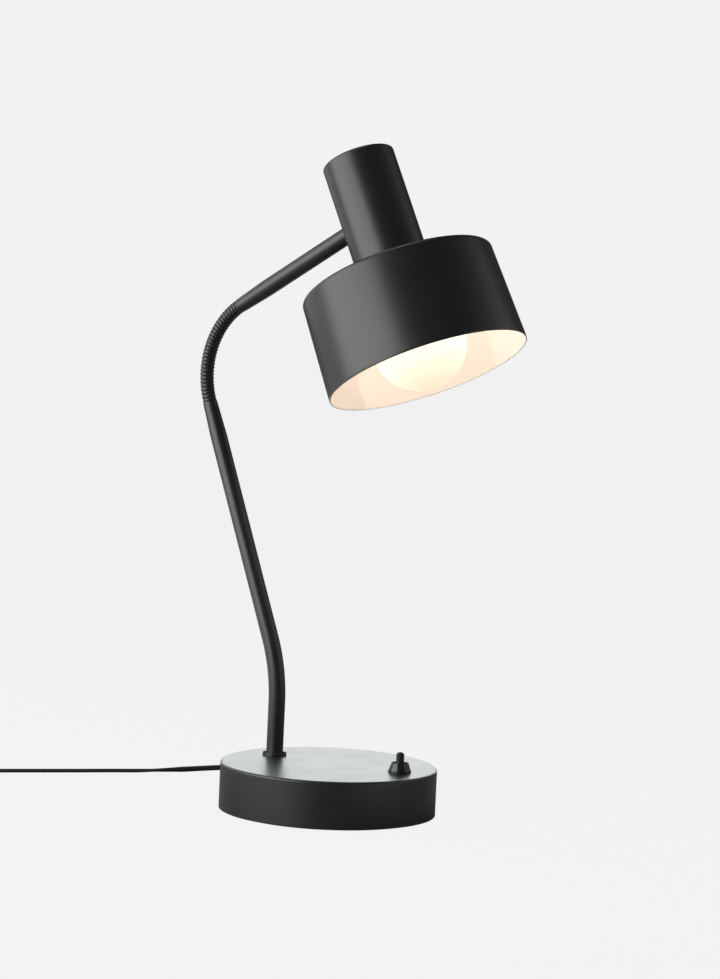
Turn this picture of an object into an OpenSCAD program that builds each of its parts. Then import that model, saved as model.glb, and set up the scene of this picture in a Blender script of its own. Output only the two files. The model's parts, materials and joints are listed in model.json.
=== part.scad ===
// Gooseneck desk lamp: weighted round base, bent stem, ribbed flexible neck,
// straight arm and a tilted drum shade with its lampholder cover and bulb.
// Origin: centre of the base on the table. +X points along the arm towards the
// shade, +Z up. Millimetres.

/* [Base] */
// Outer diameter of the base cover
base_d = 152; // [120:1:200]
// Height of the base cover's top above the table
base_h = 33.5; // [30:0.5:45]
// Sheet thickness of the base cover
base_wall = 1.2; // [0.8:0.1:2]
// Radius of the base cover's top edge
base_edge_r = 1.6; // [1.5:0.1:4]
// Height of the pad that stands on the table
pad_t = 2; // [1.5:0.5:3]
// Thickness of the bottom plate
plate_t = 1.5; // [1:0.25:3]
// Thickness of the cast iron weight
weight_t = 14; // [13:1:16]

/* [Stem] */
// Outer diameter of the stem tube and of the arm tube
tube_d = 12; // [11:0.5:14]
// Wall of the stem tube and of the arm tube
tube_wall = 1.2; // [0.8:0.1:1.5]
// How far the stem stands behind the centre of the base
stem_back = 49; // [40:1:54]
// Height of the corner where the stem begins to lean back
stem_corner_z = 95; // [80:1:120]
// Lean of the stem from vertical
stem_lean = 21.6; // [10:0.2:30]
// Length of the leaning part, from its corner to the neck
stem_lean_l = 200; // [150:1:260]
// Bend radius of the stem's centre line
stem_bend_r = 122; // [60:1:200]
// Diameter of the flange at the stem's foot
collar_d = 17; // [15:0.5:22]
// Height of the flange at the stem's foot
collar_t = 2; // [1:0.5:4]

/* [Neck] */
// Radius of the neck's centre line as it is set
neck_r = 57; // [50:1:75]
// Outer diameter of the neck's ribs
neck_d = 10; // [9:0.2:11]
// Distance from one rib to the next
rib_pitch = 2.8; // [2.4:0.1:3.4]

/* [Arm] */
// Rise of the arm above horizontal
arm_rise = 28.8; // [10:0.2:45]
// Length of the arm from the neck to the axis of the lampholder cover
arm_l = 133.8; // [110:0.2:180]
// Length of the tapered end of each tube, next to the neck
taper_l = 26; // [15:1:35]

/* [Shade] */
// Tilt of the shade's axis from vertical
head_tilt = 25.5; // [5:0.5:45]
// Diameter of the shade at its open rim
shade_rim_d = 141; // [120:1:180]
// Diameter of the shade at its closed top
shade_top_d = 136; // [115:1:175]
// Height of the shade
shade_h = 71.3; // [66:0.1:90]
// Sheet thickness of the shade and the lampholder cover
shade_wall = 0.8; // [0.6:0.1:1.2]
// Radius of the shade's top edge
shade_edge_r = 3; // [2:0.5:6]
// Diameter of the lampholder cover
cover_d = 51; // [50:1:60]
// Height of the lampholder cover
cover_h = 88; // [70:1:110]
// Radius of the lampholder cover's top edge
cover_edge_r = 2; // [1.2:0.2:5]
// Height of the arm's axis above the shade's top
arm_above_shade = 44.4; // [44:0.2:56]

/* [Lampholder and bulb] */
// Outer diameter of the lampholder's threaded skirt
skirt_d = 40; // [39:0.5:42]
// Length of the bulb from its tip to its contact
bulb_l = 108; // [104:1:110]
// Diameter of the bulb
bulb_d = 65; // [55:1:66]
// How far the bulb stands out past the rim of the shade
bulb_out = 12; // [5:0.5:20]
// Outer diameter of the bulb's screw cap
cap_d = 26.4; // [26:0.1:26.5]

/* [Switch] */
// Distance of the switch in front of the centre of the base
switch_x = 52.7; // [45:0.1:56]
// Distance of the switch to the side of the centre of the base
switch_y = 12; // [0:1:18]
// Diameter of the push button
button_d = 5.5; // [4.5:0.1:6.5]
// Height of the button's top above the base cover
button_h = 14; // [12:0.5:16]
// Travel of the push button
button_travel = 3; // [2:0.5:4]

/* [Cord] */
// Width of the flat twin cord
cord_w = 4.8; // [4.8:0.1:5.4]
// Thickness of the flat twin cord
cord_t = 2.4; // [2.4:0.1:2.8]
// Direction of the cord where it leaves the base
cord_angle = 127.4; // [120:0.1:135]
// Height of the cord where it leaves the base
cord_exit_z = 9; // [8:0.5:12]

/* [Fits] */
// Radial clearance of a part that slides or turns
running_gap = 0.05; // [0.02:0.01:0.1]
// Radial gap of a part that is screwed or dropped in
loose_gap = 0.2; // [0.1:0.05:0.4]
// Gap between moving parts that must not touch
free_gap = 0.4; // [0.3:0.05:0.6]

/* [Hidden] */
$fn = 64;
eps = 0.01;
joint_swell = 0.005;

// Levels inside the base
plate_z = pad_t;
weight_z = plate_z + plate_t;
weight_top = weight_z + weight_t;
base_r = base_d / 2;
under_top = base_h - base_wall;
weight_r = base_r - base_wall - 1.8;
cover_foot_z = 1;
bore_r = tube_d / 2 + loose_gap;

// Stem: foot, corner and end of its centre line
stem_x = -stem_back;
bend_tangent = stem_bend_r * tan(stem_lean / 2);
neck_start = [stem_x - stem_lean_l * sin(stem_lean), 0, stem_corner_z + stem_lean_l * cos(stem_lean)];
lead_r = 1.5;
lead_run_z = weight_z + lead_r + 0.3;
stem_foot_z = lead_run_z + lead_r + 0.4;
nut_z = stem_foot_z + 0.5;
nut_t = 5;
washer_t = 1.5;
recess_h = nut_z + nut_t + washer_t - weight_z;
recess_r = 14;
boss_r = 17;

// Neck: headings are measured from vertical, positive towards the shade
neck_from = -stem_lean;
neck_to = 90 - arm_rise;
neck_centre = neck_start + neck_r * [cos(neck_from), 0, -sin(neck_from)];
pivot_count = 6;
pivot_step = (neck_to - neck_from) / pivot_count;
ball_r = 3.4;
socket_r = ball_r + 0.2;
core_r = neck_d / 2 - 0.6;
rib_r = 1.2;
rod_r = 1.9;
lead_hole_r = 1.3;
cup_below = 1.5;
body_below = 3.3;
end_d = neck_d + 0.4;

// Arm and shade
arm_dir = [cos(arm_rise), 0, sin(arm_rise)];
arm_start = neck_centre + neck_r * [-cos(neck_to), 0, sin(neck_to)];
arm_end = arm_start + arm_l * arm_dir;
head_up = [-sin(head_tilt), 0, cos(head_tilt)];
arm_level = shade_h + arm_above_shade;
rim_centre = arm_end - arm_level * head_up;
cover_r = cover_d / 2;
cover_in_r = cover_r - shade_wall;
nipple_r = tube_d / 2 - tube_wall;
nipple_hole_r = 3.2;
saddle_t = 3;
bracket_t = 1.5;
bracket_w = 14;
arm_nut_t = 4;

// Lampholder levels, measured up from the rim of the shade
skirt_r = skirt_d / 2;
skirt_low = shade_h - 14;
flange_t = 3;
holder_top = shade_h + 32;
holder_r = 18.5;
holder_nipple_r = 5;
holder_nut_t = 4;

// Bulb levels, measured up from the rim of the shade
bulb_r = bulb_d / 2;
bulb_mid = bulb_r - bulb_out;
glass_t = 0.9;
neck_glass_r = cap_d / 2 - 0.3;
glass_fillet_r = 30;
glass_fillet_x = neck_glass_r + glass_fillet_r;
glass_fillet_z = bulb_mid + sqrt(pow(bulb_r + glass_fillet_r, 2) - pow(glass_fillet_x, 2));
contact_z = bulb_l - bulb_out;
insulator_h = 3;
tip_h = 1.6;
cap_top = contact_z - tip_h - insulator_h;
cap_h = 21;
cap_low = cap_top - cap_h;
thread_pitch = 3.6;
thread_ridge_r = 0.9;
shell_in_r = cap_d / 2 + free_gap;

// Switch levels
bush_r = 5;
bush_top = base_h + 5.4;
switch_size = [17, 12.5, 12.5];
switch_low = under_top - switch_size[2];
button_r = button_d / 2;
button_top = base_h + button_h;
cavity_low = switch_low + 1.5;
cavity_top = under_top - 1.2;
button_flange_r = 4.1;
button_flange_t = 1.3;
button_flange_z = cavity_top - free_gap - button_flange_t;

// Cord: route on the table from the strain relief to the coil
relief_l = 21;
relief_end_r = base_r + relief_l;
cord_outline = [[1, 0.4], [0.7, 1], [-0.7, 1], [-1, 0.4], [-1, -0.4], [-0.7, -1], [0.7, -1], [1, -0.4]];
cord_section = [for (q = cord_outline) [q[0] * cord_w / 2, q[1] * cord_t / 2]];
laid_end_r = 97;
laid_angle = 127.4;
laid_exit_z = 9;
laid_route = [
    [-59, 77, 9], [-63, 82.5, 9], [-67, 87.5, 8.7], [-75, 96, 8.4], [-85, 102, 8],
    [-96.5, 105, 7.5], [-108, 105, 6.9], [-119.5, 102, 6.2], [-130, 96, 5.5], [-138, 88, 4.8],
    [-146, 77.5, 4.1], [-154, 67, 3.5], [-162, 56.5, 2.9], [-169.5, 46.5, 2.3], [-177.5, 36, 1.8],
    [-185.5, 25.5, 1.4], [-193, 15, 1.2], [-201, 5, 1.2], [-209, -5.5, 1.2], [-216.5, -16, 1.2],
    [-224.5, -26.5, 1.2], [-232.5, -37, 1.2], [-240.5, -47.5, 1.2], [-248.5, -58, 1.2], [-256.5, -68.5, 1.2],
    [-264, -78.5, 1.3], [-272, -89, 1.5], [-280, -99.5, 1.7], [-287.5, -110, 1.8]];
// The route moves with the end of the strain relief, and its first points rise or sink with it
cord_shift = relief_end_r * [cos(cord_angle), sin(cord_angle), 0]
    - laid_end_r * [cos(laid_angle), sin(laid_angle), 0];
droop_points = 12;
cord_route = [for (i = [0:len(laid_route) - 1])
    laid_route[i] + cord_shift + [0, 0, (cord_exit_z - laid_exit_z) * max(0, 1 - i / droop_points)]];
tie_t = 0.6;
coil_centre = [-262, -133] + [cord_shift[0], cord_shift[1]];
coil_mid_r = 27;
coil_columns = 4;
coil_layers = 2;
coil_pitch = cord_w + 0.1;
coil_in_r = coil_mid_r - coil_columns * coil_pitch / 2;
coil_out_r = coil_mid_r + coil_columns * coil_pitch / 2;
coil_h = coil_layers * cord_t + 0.2;
laid_tail = [
    [-278.1, -163.3, 4.2], [-272.6, -165.9, 4.2], [-266.8, -168.3, 4.1], [-260.8, -170.5, 3.6],
    [-254.6, -172.5, 2.9], [-248.2, -174.2, 2.9], [-241.8, -175.5, 4.2], [-235.4, -176.4, 6],
    [-229, -176.8, 7]];
tail_route = [for (p = laid_tail) p + cord_shift];
tail_heading = -3;
plug_w = 26;
plug_t = 14;
plug_l = 32;
plug_relief_l = 20;
pin_r = 2;
pin_l = 19;
pin_spacing = 18.6;

// ---- Shared shapes -------------------------------------------------------

// Sheet metal cup seen in half section: radius at foot and top, height, edge radius
module cup_half(foot_r, top_r, h, edge_r) {
    polygon([[0, 0], [foot_r, 0], [top_r, h - edge_r], [0, h - edge_r]]);
    square([top_r - edge_r, h]);
    intersection() {
        translate([top_r - edge_r, h - edge_r]) circle(edge_r);
        square([top_r, h]);
    }
}

module cup_shell(foot_r, top_r, h, edge_r, wall) {
    rotate_extrude($fn = 128) difference() {
        cup_half(foot_r, top_r, h, edge_r);
        translate([0, -eps]) cup_half(foot_r - wall, top_r - wall, h - wall + eps, max(edge_r - wall, 0.2));
    }
}

module tube(outer_r, inner_r, h) {
    difference() {
        cylinder(r = outer_r, h = h);
        translate([0, 0, -1]) cylinder(r = inner_r, h = h + 2);
    }
}

module cone_tube(r1, r2, inner_r, h) {
    difference() {
        cylinder(r1 = r1, r2 = r2, h = h);
        translate([0, 0, -1]) cylinder(r = inner_r, h = h + 2);
    }
}

// Solid hexagon across its flats
module hexagon(across, h) {
    linear_extrude(h) circle(d = across / cos(30), $fn = 6);
}

// Solid along an arc in the XZ plane: centre, radius, headings and section radius
module arc_rod(centre, r, from, to, section_r) {
    translate(centre) rotate([90, 0, 0]) rotate([0, 0, 180 - to])
        rotate_extrude(angle = to - from, $fn = 128) translate([r, 0]) circle(section_r, $fn = 48);
}

// The stem's centre line as a solid rod, from height low to distance end before the neck.
// A ball fills each joint between a straight run and the bend.
module stem_rod(r, low, end) {
    bend_low = stem_corner_z - bend_tangent;
    straight = stem_lean_l - bend_tangent - end;
    translate([stem_x, 0, low]) cylinder(r = r, h = bend_low - low);
    translate([stem_x, 0, bend_low]) sphere(r + joint_swell);
    translate([stem_x - stem_bend_r, 0, bend_low]) rotate([90, 0, 0])
        rotate_extrude(angle = stem_lean, $fn = 128) translate([stem_bend_r, 0]) circle(r, $fn = 48);
    translate(neck_start) rotate([0, -stem_lean, 0]) translate([0, 0, -end - straight]) {
        sphere(r + joint_swell);
        cylinder(r = r, h = straight);
    }
}

function unit(v) = v / norm(v);
function tangent(p, i) = unit(p[min(i + 1, len(p) - 1)] - p[max(i - 1, 0)]);
function ring(p, i, section) =
    let (t = tangent(p, i), side = unit(cross([0, 0, 1], t)), up = cross(t, side))
    [for (q = section) p[i] + side * q[0] + up * q[1]];

// One closed tube swept along the points p
module sweep(p, section) {
    n = len(section);
    m = len(p);
    polyhedron(
        points = [for (i = [0:m - 1]) each ring(p, i, section)],
        faces = concat(
            [[for (j = [0:n - 1]) j]],
            [[for (j = [n - 1:-1:0]) (m - 1) * n + j]],
            [for (i = [0:m - 2], j = [0:n - 1])
                [i * n + j, (i + 1) * n + j, (i + 1) * n + (j + 1) % n, i * n + (j + 1) % n]]),
        convexity = 10);
}

function round_section(r, sides) = [for (k = [0:sides - 1]) r * [cos(k * 360 / sides), sin(k * 360 / sides)]];

// ---- Places --------------------------------------------------------------

module at_switch() { translate([switch_x, switch_y, 0]) children(); }
module at_cord() { rotate([0, 0, cord_angle]) translate([0, 0, cord_exit_z]) rotate([0, 90, 0]) children(); }
module at_notch() { rotate([0, 0, cord_angle]) children(); }
module at_heading(h) {
    translate(neck_centre + neck_r * [-cos(h), 0, sin(h)]) rotate([0, h, 0]) children();
}
module at_arm() { translate(arm_end) rotate([0, 90 - arm_rise, 0]) children(); }
module at_head() { translate(rim_centre) rotate([0, -head_tilt, 0]) children(); }
module at_coil() { translate([coil_centre[0], coil_centre[1], tie_t]) children(); }
module at_plug() {
    translate(tail_route[len(tail_route) - 1]) rotate([0, 0, tail_heading]) rotate([0, 90, 0]) children();
}
module at_base_screws() {
    for (k = [0:2]) rotate([0, 0, 60 + 120 * k + cord_angle]) translate([34, 0, 0]) children();
}

// ---- Base ----------------------------------------------------------------

module base_cover() {
    color([0.09, 0.09, 0.09]) difference() {
        translate([0, 0, cover_foot_z])
            cup_shell(base_r, base_r, base_h - cover_foot_z, base_edge_r, base_wall);
        translate([stem_x, 0, under_top - 1]) cylinder(r = bore_r, h = base_wall + 2);
        at_switch() translate([0, 0, under_top - 1]) cylinder(r = bush_r + loose_gap, h = base_wall + 2);
        at_cord() translate([0, 0, base_r - 4]) cylinder(r = 3.6 + loose_gap, h = 8);
    }
}

// Space beside the weight for the cord clamp and the terminal block
notch_w = 30;
notch_from = 36;
screw_r = 2;
module base_weight() {
    color([0.25, 0.25, 0.26]) difference() {
        union() {
            translate([0, 0, weight_z]) cylinder(r = weight_r, h = weight_t, $fn = 128);
            translate([stem_x, 0, weight_z]) cylinder(r = boss_r, h = under_top - weight_z);
        }
        translate([stem_x, 0, 0]) cylinder(r = bore_r, h = base_h);
        translate([stem_x, 0, weight_z - 1]) cylinder(r = recess_r, h = recess_h + 1);
        at_notch() translate([notch_from, -notch_w / 2, weight_z - 1]) cube([base_r, notch_w, weight_t + 2]);
        translate([stem_x, 0, weight_z - 1]) rotate([0, 0, 62]) translate([0, -4, 0]) cube([34, 8, 8]);
        at_base_screws() translate([0, 0, weight_z - 1]) cylinder(r = screw_r + loose_gap, h = 9);
    }
}

module base_plate() {
    color("silver") difference() {
        translate([0, 0, plate_z]) cylinder(r = base_r - base_wall - loose_gap, h = plate_t, $fn = 128);
        at_base_screws() translate([0, 0, plate_z - 1]) cylinder(r = screw_r + loose_gap, h = plate_t + 2);
        at_clamp_screws() translate([0, 0, -1]) cylinder(r = 1.5 + loose_gap, h = plate_t + 2);
    }
}

module base_pad() {
    color([0.12, 0.12, 0.12]) tube(base_r - base_wall - 3, 44, pad_t, $fn = 128);
}

module base_screws() {
    color("gainsboro") at_base_screws() {
        translate([0, 0, plate_z - 1.4]) cylinder(r = 3.6, h = 1.4);
        translate([0, 0, plate_z - eps]) cylinder(r = screw_r, h = plate_t + 7);
    }
}

// ---- Stem ----------------------------------------------------------------

module stem_collar() {
    color([0.1, 0.1, 0.1]) translate([stem_x, 0, base_h]) rotate_extrude() difference() {
        union() {
            translate([bore_r, 0]) square([collar_d / 2 - bore_r, collar_t - 0.6]);
            translate([bore_r, 0]) square([collar_d / 2 - bore_r - 0.6, collar_t]);
            intersection() {
                translate([collar_d / 2 - 0.6, collar_t - 0.6]) circle(0.6);
                square([collar_d / 2, collar_t]);
            }
        }
    }
}

module stem_tube() {
    straight_r = tube_d / 2;
    color([0.1, 0.1, 0.1]) difference() {
        union() {
            stem_rod(straight_r, stem_foot_z, taper_l);
            translate(neck_start) rotate([0, -stem_lean, 0]) translate([0, 0, -taper_l])
                cylinder(r1 = straight_r, r2 = end_d / 2, h = taper_l);
        }
        stem_rod(nipple_r, stem_foot_z - 1, taper_l);
        translate(neck_start) rotate([0, -stem_lean, 0]) translate([0, 0, -taper_l - eps])
            cylinder(r1 = nipple_r, r2 = end_d / 2 - tube_wall, h = taper_l + 1);
    }
}

module stem_washer() {
    color("silver") translate([stem_x, 0, nut_z + nut_t]) tube(12, bore_r, washer_t);
}

module stem_nut() {
    color("silver") translate([stem_x, 0, nut_z]) difference() {
        hexagon(19, nut_t);
        translate([0, 0, -1]) cylinder(r = tube_d / 2 + running_gap, h = nut_t + 2);
    }
}

terminal_mid = 44;
terminal_size = [10, 18, 10];
terminal_hole_z = weight_z + 5;
module stem_lead() {
    foot = [stem_x, 0, lead_run_z];
    block = [terminal_mid * cos(cord_angle), terminal_mid * sin(cord_angle), foot[2]];
    reach = block - foot;
    along = norm(reach);
    color("ivory") {
        stem_rod(lead_r, foot[2], 4);
        translate(foot) sphere(lead_r + joint_swell, $fn = 32);
        translate(foot) rotate([0, 0, atan2(reach[1], reach[0])]) rotate([0, 90, 0])
            cylinder(r = lead_r, h = along - 11);
    }
}

// ---- Switch --------------------------------------------------------------

module switch_body() {
    color([0.08, 0.08, 0.08]) at_switch() difference() {
        union() {
            translate([-switch_size[0] / 2, -switch_size[1] / 2, switch_low]) cube(switch_size);
            translate([0, 0, under_top - eps]) cylinder(r = bush_r, h = bush_top - under_top);
        }
        translate([0, 0, cavity_low]) cylinder(r = button_flange_r + free_gap, h = cavity_top - cavity_low);
        translate([0, 0, cavity_top - 1]) cylinder(r = button_r + running_gap, h = base_h);
    }
}

nut_low_r = 8;
nut_top_r = 5.85;
nut_h = 6.6;
module switch_nut() {
    color([0.06, 0.06, 0.06]) at_switch() translate([0, 0, base_h]) difference() {
        union() {
            cylinder(r = nut_low_r, h = 1.2);
            translate([0, 0, 1.2]) cylinder(r1 = nut_low_r - 0.2, r2 = nut_top_r, h = nut_h - 1.2);
        }
        translate([0, 0, -1]) cylinder(r = bush_r + running_gap, h = bush_top - base_h + 1);
        translate([0, 0, 2]) cylinder(r = button_r + free_gap, h = nut_h);
        for (k = [0:3]) rotate([0, 0, 90 * k + 30])
            translate([bush_r - 0.6, -0.9, nut_h - 1.6]) cube([4, 1.8, 3]);
    }
}

module switch_button() {
    dome_r = button_r * 1.15;
    low = button_flange_z - 0.6;
    color([0.05, 0.05, 0.05]) at_switch() {
        intersection() {
            translate([0, 0, low]) cylinder(r = button_r, h = button_top - low);
            translate([0, 0, button_top - dome_r]) union() {
                sphere(dome_r);
                translate([0, 0, low - button_top]) cylinder(r = dome_r, h = button_top - low);
            }
        }
        translate([0, 0, button_flange_z]) cylinder(r = button_flange_r, h = button_flange_t);
    }
}

spring_turns = 4;
spring_r = 2.2;
spring_wire_r = 0.35;
module switch_spring() {
    low = cavity_low + spring_wire_r;
    high = button_flange_z - 0.6 - spring_wire_r;
    steps = spring_turns * 14;
    color("silver") at_switch() sweep(
        [for (k = [0:steps]) [spring_r * cos(k * 360 / 14), spring_r * sin(k * 360 / 14),
            low + (high - low) * k / steps]],
        round_section(spring_wire_r, 6));
}

tab_size = [3, 0.8, 2];
module at_tabs() { for (side = [-1, 1]) at_switch() translate([side * 5, 0, switch_low]) children(); }
module switch_tabs() {
    color("gold") at_tabs() translate([-tab_size[0] / 2, -tab_size[1] / 2, -tab_size[2]]) cube(tab_size);
}

// Two wires from the terminal block over the weight to the switch
module switch_leads() {
    z = weight_top + 1.4;
    top = terminal_hole_z + 5 + 0.9;
    block = [terminal_mid * cos(cord_angle), terminal_mid * sin(cord_angle)];
    color("ivory") for (side = [-1, 1]) {
        end = [switch_x + side * 5, switch_y];
        sweep([[block[0] + side * 3, block[1] + side * 2, top],
            [block[0] + side * 3 + 5, block[1] + side * 2 - 1, z],
            [-4 + side * 3, 30 + side * 2, z],
            [14 + side * 3, 24 + side * 2, z],
            [30 + side * 3, 17 + side * 2, z],
            [end[0] - 8, end[1] + side * 2, z - 0.2], [end[0] - 2.6, end[1] + side * 0.2, z - 0.2]],
            round_section(0.9, 8));
    }
}

// ---- Cord entry ----------------------------------------------------------

module cord_bushing() {
    color([0.07, 0.07, 0.07]) at_cord() difference() {
        union() {
            translate([0, 0, base_r - base_wall - 2.2]) cylinder(r = 5, h = 2);
            translate([0, 0, base_r - base_wall - 1]) cylinder(r = 3.6, h = base_wall + 2);
            translate([0, 0, base_r + 0.2]) cylinder(r = 4.8, h = 1.8);
            translate([0, 0, base_r + 1.5]) cylinder(r1 = 4, r2 = 3, h = relief_l - 1.5);
        }
        for (k = [0:3]) translate([0, 0, base_r + 5 + 4 * k]) difference() {
            cylinder(r = 6, h = 1.4);
            translate([0, 0, -1]) cylinder(r = 2.75, h = 4);
        }
    }
}

// Flat cord inside the base, from the bushing to the terminal block
module base_lead() {
    from = terminal_mid + terminal_size[0] / 2;
    to = base_r - base_wall - 2.2;
    color("dimgray") at_notch() translate([from, -cord_w / 2, terminal_hole_z - cord_t / 2])
        cube([to - from, cord_w, cord_t]);
}

clamp_mid = 60;
module at_clamp_screws() {
    at_notch() for (side = [-1, 1]) translate([clamp_mid, side * 7, plate_z]) children();
}
module cord_clamp() {
    color([0.15, 0.15, 0.15]) difference() {
        at_notch() translate([clamp_mid - 4, -11, weight_z]) cube([8, 22, 9.5]);
        at_notch() translate([clamp_mid - 5, -cord_w / 2 - 0.1, terminal_hole_z - cord_t / 2 - 0.05])
            cube([10, cord_w + 0.2, cord_t + 0.1]);
        at_clamp_screws() cylinder(r = 1.5 + loose_gap, h = 20);
    }
}

module clamp_screws() {
    color("gainsboro") at_clamp_screws() {
        translate([0, 0, 0.1]) cylinder(r = 1.5, h = plate_t + 9.5);
        translate([0, 0, plate_t + 9.5]) cylinder(r = 2.8, h = 1.8);
    }
}

module terminal_block() {
    color("white") at_notch() difference() {
        translate([terminal_mid - terminal_size[0] / 2, -terminal_size[1] / 2, weight_z]) cube(terminal_size);
        for (side = [-1, 1]) translate([terminal_mid, side * 5, weight_z + 6]) cylinder(r = 1.6, h = 10);
    }
}

// ---- Neck ----------------------------------------------------------------

function turn(l) = l / neck_r * 180 / PI;
function pivot(k) = neck_from + (k - 0.5) * pivot_step;

// Ribbed run of the neck between two headings
module ribbed(from, to) {
    run = (to - from) * PI / 180 * neck_r;
    gaps = max(1, round((run - 2 * rib_r) / rib_pitch));
    first = from + turn(rib_r);
    step = (to - from - 2 * turn(rib_r)) / gaps;
    arc_rod(neck_centre, neck_r, from, to, core_r);
    for (k = [0:gaps]) at_heading(first + k * step)
        rotate_extrude() translate([neck_d / 2 - rib_r, 0]) circle(rib_r, $fn = 32);
}

module ball(k) {
    at_heading(pivot(k)) {
        sphere(ball_r);
        translate([0, 0, -body_below - 1]) cylinder(r = rod_r, h = body_below);
    }
}

// Link k sits on the ball of the link below it and carries the next ball
module link(k) {
    difference() {
        union() {
            ribbed(pivot(k) - turn(cup_below), pivot(k + 1) - turn(body_below));
            ball(k + 1);
        }
        at_heading(pivot(k)) sphere(socket_r);
        arc_rod(neck_centre, neck_r, pivot(k), pivot(k + 1) + turn(ball_r + 1), lead_hole_r);
    }
}

module neck_root() {
    color([0.14, 0.14, 0.14]) difference() {
        union() {
            ribbed(neck_from, pivot(1) - turn(body_below));
            ball(1);
        }
        arc_rod(neck_centre, neck_r, neck_from - 1, pivot(1) + turn(ball_r + 1), lead_hole_r);
    }
}
module neck_link_1() { color([0.16, 0.16, 0.16]) link(1); }
module neck_link_2() { color([0.14, 0.14, 0.14]) link(2); }
module neck_link_3() { color([0.16, 0.16, 0.16]) link(3); }
module neck_link_4() { color([0.14, 0.14, 0.14]) link(4); }
module neck_link_5() { color([0.16, 0.16, 0.16]) link(5); }
module neck_tip() {
    color([0.14, 0.14, 0.14]) difference() {
        ribbed(pivot(pivot_count) - turn(cup_below), neck_to);
        at_heading(pivot(pivot_count)) sphere(socket_r);
        arc_rod(neck_centre, neck_r, pivot(pivot_count), neck_to + 1, lead_hole_r);
    }
}

// ---- Arm -----------------------------------------------------------------

module cover_cylinder(r) {
    at_head() translate([0, 0, shade_h]) cylinder(r = r, h = cover_h, $fn = 128);
}

module arm_tube() {
    color([0.1, 0.1, 0.1]) difference() {
        at_arm() translate([0, 0, -arm_l]) {
            cylinder(r1 = end_d / 2, r2 = tube_d / 2, h = taper_l);
            translate([0, 0, taper_l - eps]) cylinder(r = tube_d / 2, h = arm_l - taper_l);
        }
        at_arm() translate([0, 0, -arm_l - eps])
            cylinder(r1 = end_d / 2 - tube_wall, r2 = nipple_r, h = taper_l);
        at_arm() translate([0, 0, -arm_l + taper_l - 2 * eps]) cylinder(r = nipple_r, h = arm_l);
        cover_cylinder(cover_r + 0.1);
    }
}

nipple_in_tube = 18;
nipple_end = -12;
module arm_nipple() {
    from = -cover_r - nipple_in_tube;
    color("silver") at_arm() translate([0, 0, from])
        tube(nipple_r - running_gap, nipple_hole_r, nipple_end - from);
}

saddle_end = -cover_in_r + saddle_t;
module arm_saddle() {
    color("silver") intersection() {
        at_arm() translate([0, 0, -cover_r - 2]) tube(8, nipple_r, cover_r + 2 + saddle_end);
        cover_cylinder(cover_in_r - 0.05);
    }
}

module arm_nut() {
    color("silver") at_arm() translate([0, 0, saddle_end + bracket_t]) difference() {
        hexagon(14, arm_nut_t);
        translate([0, 0, -1]) cylinder(r = nipple_r, h = arm_nut_t + 2);
    }
}

bend_lead_r = 10;
module arm_lead() {
    fall = 90 + arm_rise - head_tilt;
    color("ivory") {
        at_arm() translate([0, 0, -arm_l + 4]) cylinder(r = lead_r, h = arm_l - 4 - bend_lead_r);
        at_head() translate([-bend_lead_r, 0, arm_level - bend_lead_r]) rotate([90, 0, 0])
            rotate_extrude(angle = 90 + head_tilt - arm_rise + 6, $fn = 96)
                translate([bend_lead_r, 0]) circle(lead_r, $fn = 32);
        at_head() translate([0, 0, holder_top - 4])
            cylinder(r = lead_r, h = arm_level - bend_lead_r - holder_top + 4 + eps);
    }
}

// Strap that hangs the lampholder from the arm's nut
module holder_bracket() {
    color("silver") difference() {
        union() {
            at_arm() translate([-8, -bracket_w / 2, saddle_end])
                cube([arm_level - holder_top + 8 - 0.9, bracket_w, bracket_t]);
            at_head() translate([-cover_in_r + saddle_t + 0.2, -bracket_w / 2, holder_top])
                cube([cover_in_r + 5, bracket_w, bracket_t]);
        }
        at_arm() translate([0, 0, -cover_r]) cylinder(r = nipple_r, h = cover_r);
        at_head() translate([0, 0, holder_top - 1]) cylinder(r = holder_nipple_r + running_gap, h = 4);
    }
}

// ---- Lampholder and shade -------------------------------------------------

module holder_cover() {
    color([0.1, 0.1, 0.1]) difference() {
        at_head() translate([0, 0, shade_h])
            cup_shell(cover_r, cover_r, cover_h, cover_edge_r, shade_wall);
        at_arm() translate([0, 0, -cover_r - 3]) cylinder(r = nipple_r + loose_gap, h = 8);
    }
}

module shade() {
    color([0.1, 0.1, 0.1]) at_head() difference() {
        cup_shell(shade_rim_d / 2, shade_top_d / 2, shade_h, shade_edge_r, shade_wall);
        translate([0, 0, shade_h - 2]) cylinder(r = skirt_r + loose_gap, h = 4, $fn = 96);
    }
}

module holder_ring() {
    color([0.08, 0.08, 0.08]) at_head() translate([0, 0, shade_h - shade_wall - 5])
        tube(skirt_r + 4, skirt_r + running_gap, 5, $fn = 96);
}

module holder_body() {
    color([0.08, 0.08, 0.08]) at_head() difference() {
        union() {
            translate([0, 0, skirt_low]) cylinder(r = skirt_r, h = shade_h - skirt_low + 1, $fn = 96);
            translate([0, 0, shade_h]) cylinder(r = skirt_r + 3, h = flange_t, $fn = 96);
            translate([0, 0, shade_h + flange_t - eps])
                cylinder(r = holder_r, h = holder_top - shade_h - flange_t + eps, $fn = 96);
        }
        translate([0, 0, skirt_low - 1])
            cylinder(r = shell_in_r + 1.2, h = contact_z + 2 - skirt_low, $fn = 96);
        translate([0, 0, contact_z]) cylinder(r = holder_nipple_r + running_gap, h = 20);
    }
}

module holder_shell() {
    color("gold") at_head() translate([0, 0, cap_low - 1])
        tube(shell_in_r + 1, shell_in_r, cap_top - cap_low);
}

module holder_contact() {
    color("gold") at_head() {
        translate([-10, -2.5, contact_z + free_gap]) cube([12.5, 5, 0.5]);
        translate([-10, -2.5, contact_z + free_gap]) cube([2, 5, 0.6]);
    }
}

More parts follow.
